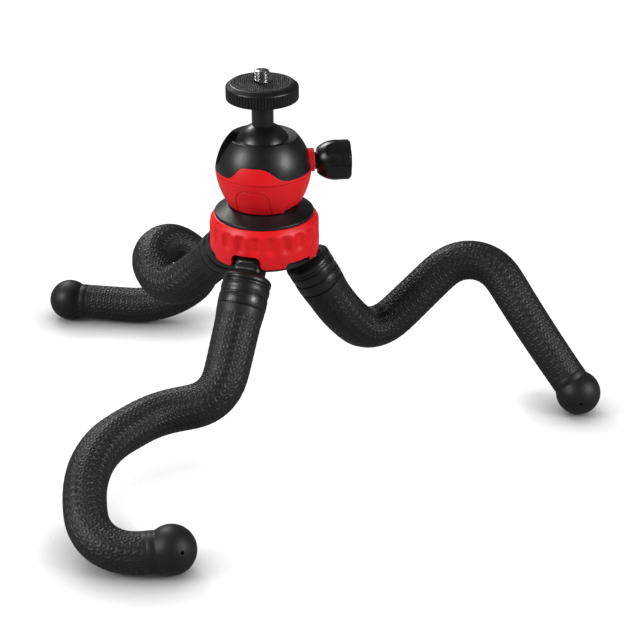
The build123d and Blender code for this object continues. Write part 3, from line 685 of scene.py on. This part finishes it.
def vary(material, scale, socket, low, high):
    """Change a colour or roughness a little from place to place."""
    nodes, links = material.node_tree.nodes, material.node_tree.links
    place = nodes.new("ShaderNodeTexCoord")
    cloud = nodes.new("ShaderNodeTexNoise")
    cloud.inputs["Scale"].default_value = scale
    cloud.inputs["Detail"].default_value = 5
    links.new(place.outputs["Object"], cloud.inputs["Vector"])
    target = nodes["Principled BSDF"].inputs[socket]
    if socket == "Roughness":
        spread = nodes.new("ShaderNodeMapRange")
        spread.inputs["From Min"].default_value = 0.3
        spread.inputs["From Max"].default_value = 0.7
        spread.inputs["To Min"].default_value = low
        spread.inputs["To Max"].default_value = high
        links.new(cloud.outputs["Fac"], spread.inputs["Value"])
        links.new(spread.outputs["Result"], target)
        return
    ramp = nodes.new("ShaderNodeValToRGB")
    ramp.color_ramp.elements[0].position = 0.35
    ramp.color_ramp.elements[1].position = 0.65
    ramp.color_ramp.elements[0].color = (*low, 1)
    ramp.color_ramp.elements[1].color = (*high, 1)
    links.new(cloud.outputs["Fac"], ramp.inputs["Fac"])
    links.new(ramp.outputs["Color"], target)


def leg_rubber():
    """Matte black foam rubber, a little dusty, with a fine grain."""
    material = new_material("leg_foam_rubber", (0.010, 0.010, 0.0105), 0.5, specular=0.45)
    add_grain(material, 1500, 0.00005, strength=0.6)
    vary(material, 120, "Base Color", (0.008, 0.008, 0.0085), (0.013, 0.013, 0.0135))
    vary(material, 260, "Roughness", 0.42, 0.6)
    return material


def foot_rubber():
    """Smooth matte rubber of the ball feet."""
    material = new_material("foot_matte_rubber", (0.008, 0.008, 0.0085), 0.52, specular=0.4)
    add_grain(material, 2600, 0.00004, strength=0.4)
    vary(material, 90, "Roughness", 0.46, 0.58)
    vary(material, 60, "Base Color", (0.007, 0.007, 0.0075), (0.010, 0.010, 0.0105))
    return material


def pad_rubber():
    """Dull rubber of the camera pad."""
    material = new_material("pad_dull_rubber", (0.02, 0.02, 0.021), 0.6)
    add_grain(material, 4000, 0.00006, strength=0.5)
    vary(material, 300, "Base Color", (0.016, 0.016, 0.017), (0.026, 0.026, 0.027))
    return material


def collar_plastic():
    """Semi-gloss black moulding with a speckled surface."""
    material = new_material("collar_speckled_plastic", (0.010, 0.010, 0.0105), 0.34)
    add_grain(material, 900, 0.00010, rounding=0.00025, strength=0.8)
    vary(material, 400, "Roughness", 0.28, 0.46)
    vary(material, 90, "Base Color", (0.008, 0.008, 0.0085), (0.013, 0.013, 0.0135))
    return material


def red_plastic():
    """Glossy red moulding, a touch deeper in places."""
    material = new_material("glossy_red_plastic", (0.9, 0.006, 0.012), 0.42, specular=0.42)
    add_grain(material, 700, 0.00002, rounding=0.0004, strength=0.3)
    vary(material, 45, "Base Color", (0.84, 0.005, 0.010), (0.94, 0.008, 0.014))
    vary(material, 160, "Roughness", 0.38, 0.46)
    return material


def satin_black_plastic(name="satin_black_moulding", roughness=0.4):
    """Fine-textured satin black moulding."""
    material = new_material(name, (0.006, 0.006, 0.0065), roughness)
    add_grain(material, 2400, 0.00004, rounding=0.0003, strength=0.5)
    vary(material, 70, "Base Color", (0.005, 0.005, 0.0055), (0.008, 0.008, 0.0085))
    vary(material, 220, "Roughness", roughness - 0.05, roughness + 0.05)
    return material


def steel(name="zinc_plated_steel", colour=(0.42, 0.42, 0.43)):
    """Zinc plated steel with turning marks."""
    material = new_material(name, colour, 0.3, metallic=1.0)
    add_grain(material, 1500, 0.00003, rounding=0.00012, strength=0.5)
    vary(material, 300, "Roughness", 0.22, 0.38)
    vary(material, 150, "Base Color", tuple(0.8 * part for part in colour),
         tuple(1.1 * part for part in colour))
    return material


def washer_plastic():
    """Black slippery plastic of the friction washer and the ball's seat."""
    material = new_material("black_acetal", (0.008, 0.008, 0.0085), 0.32)
    add_grain(material, 1200, 0.00003, rounding=0.0002, strength=0.4)
    vary(material, 90, "Base Color", (0.006, 0.006, 0.0065), (0.010, 0.010, 0.0105))
    return material


def dress_legs(finishes):
    """Each leg's skin in three stretches, its neck, collar and foot."""
    for leg in LEG_AZIMUTH:
        line = CentreLine(leg)
        hinges = [line.nearest(record_joints[f"leg_{leg}_bend_{i}"]["pos_m"])
                  for i in (1, 2, 3)]
        seams = [COLLAR_END, (hinges[0] + hinges[1]) / 2, (hinges[1] + hinges[2]) / 2,
                 line.length - SKIN_TUCK]
        for i in range(3):
            piece = skin_piece(leg, i + 1, line, seams[i], seams[i + 1], finishes["leg_rubber"])
            names = [f"leg_{leg}_skin_{i + 1}"]
            if i == 2:
                names.append(f"leg_{leg}_skin_4")
            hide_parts(*names)
            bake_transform(piece)
        neck_piece(leg, line, finishes["collar_plastic"])
        collar_piece(leg, line, finishes["collar_plastic"])
        foot_piece(leg, line, finishes["foot_rubber"])


def add_camera():
    """A camera in front of the object, looking along +Y and down."""
    camera = bpy.data.cameras.new("camera")
    camera.sensor_width = SENSOR_WIDTH
    camera.lens = SENSOR_WIDTH * LENS_WIDTHS
    holder = bpy.data.objects.new("camera", camera)
    holder.location = CAMERA_PLACE
    holder.rotation_euler = (math.radians(90 - CAMERA_DOWN), 0, 0)
    bpy.context.collection.objects.link(holder)
    bpy.context.scene.camera = holder


def add_lamp(name, place, target, size, power):
    """A round soft lamp that faces a target."""
    lamp = bpy.data.lights.new(name, "AREA")
    lamp.shape = "DISK"
    lamp.size = size
    lamp.energy = power
    holder = bpy.data.objects.new(name, lamp)
    holder.location = place
    facing = Vector(target) - Vector(place)
    holder.rotation_euler = facing.to_track_quat("-Z", "Y").to_euler()
    bpy.context.collection.objects.link(holder)


def floor_material():
    """Pale floor that the camera sees as white, with the object's shadow kept, and a painted contact shadow that
    darkens its glow where a piece is near the floor.
    """
    material = new_material("pale_floor", (0.9, 0.9, 0.9), 0.9, specular=0.1)
    nodes, links = material.node_tree.nodes, material.node_tree.links
    glow = nodes.new("ShaderNodeEmission")
    path = nodes.new("ShaderNodeLightPath")
    seen = nodes.new("ShaderNodeMix")
    seen.data_type = "RGBA"
    seen.inputs["A"].default_value = (*FLOOR_BOUNCE, 1)
    seen.inputs["B"].default_value = (*FLOOR_SEEN, 1)
    links.new(path.outputs["Is Camera Ray"], seen.inputs["Factor"])
    links.new(seen.outputs["Result"], nodes["Principled BSDF"].inputs["Base Color"])
    lift = nodes.new("ShaderNodeMath")
    lift.operation = "MULTIPLY"
    lift.inputs[1].default_value = FLOOR_LIFT
    links.new(path.outputs["Is Camera Ray"], lift.inputs[0])
    # Painted contact shadow: ambient occlusion darkens the floor's glow wherever a piece comes near it
    painted_shadow_nearness = nodes.new("ShaderNodeAmbientOcclusion")
    painted_shadow_nearness.samples = 8
    painted_shadow_nearness.inputs["Distance"].default_value = PAINTED_SHADOW_REACH
    painted_shadow = nodes.new("ShaderNodeMath")
    painted_shadow.operation = "POWER"
    painted_shadow.inputs[1].default_value = PAINTED_SHADOW_POWER
    links.new(painted_shadow_nearness.outputs["AO"], painted_shadow.inputs[0])
    links.new(painted_shadow.outputs[0], glow.inputs["Color"])
    links.new(lift.outputs[0], glow.inputs["Strength"])
    both = nodes.new("ShaderNodeAddShader")
    links.new(nodes["Principled BSDF"].outputs["BSDF"], both.inputs[0])
    links.new(glow.outputs["Emission"], both.inputs[1])
    links.new(both.outputs["Shader"], nodes["Material Output"].inputs["Surface"])
    return material


def add_stage():
    """The floor, the white surroundings and the lamps."""
    bm = bmesh.new()
    bmesh.ops.create_grid(bm, x_segments=4, y_segments=4, size=FLOOR_SIZE)
    floor = finish_mesh(bm, "floor", floor_material())
    world = bpy.data.worlds.new("studio")
    world.use_nodes = True
    nodes, links = world.node_tree.nodes, world.node_tree.links
    background = nodes["Background"]
    path = nodes.new("ShaderNodeLightPath")
    strength = nodes.new("ShaderNodeMapRange")
    strength.inputs["To Min"].default_value = WORLD_LIGHT
    strength.inputs["To Max"].default_value = WORLD_SEEN
    links.new(path.outputs["Is Camera Ray"], strength.inputs["Value"])
    background.inputs["Color"].default_value = (1, 1, 1, 1)
    links.new(strength.outputs["Result"], background.inputs["Strength"])
    bpy.context.scene.world = world
    for name, place, size, power in LAMPS:
        add_lamp(name, place, LAMP_TARGET, size, power)
    bpy.context.scene.view_settings.view_transform = "Standard"


add_camera()
add_stage()
finishes = {
    "red_plastic": red_plastic(),
    "black_plastic": satin_black_plastic(),
    "glossy_black_plastic": satin_black_plastic("gloss_black_moulding", 0.32),
    "collar_plastic": collar_plastic(),
    "washer_plastic": washer_plastic(),
    "black_anodised_metal": satin_black_plastic("black_anodised_metal", 0.33),
    "steel": steel(),
    "pad_rubber": pad_rubber(),
    "leg_rubber": leg_rubber(),
    "foot_rubber": foot_rubber(),
    "core_wire": steel("annealed_wire", (0.5, 0.5, 0.51)),
}
slots = {sub["node"]: sub["material_slot"] for sub in frame["record"]["subparts"]}
for name, node in frame["nodes"].items():
    node.data.materials.clear()
    node.data.materials.append(finishes[slots[name]])
dress_legs(finishes)
ring_piece(finishes["red_plastic"])
pad_piece(finishes["pad_rubber"])
stud_piece(finishes["steel"])
bpy.context.view_layer.update()
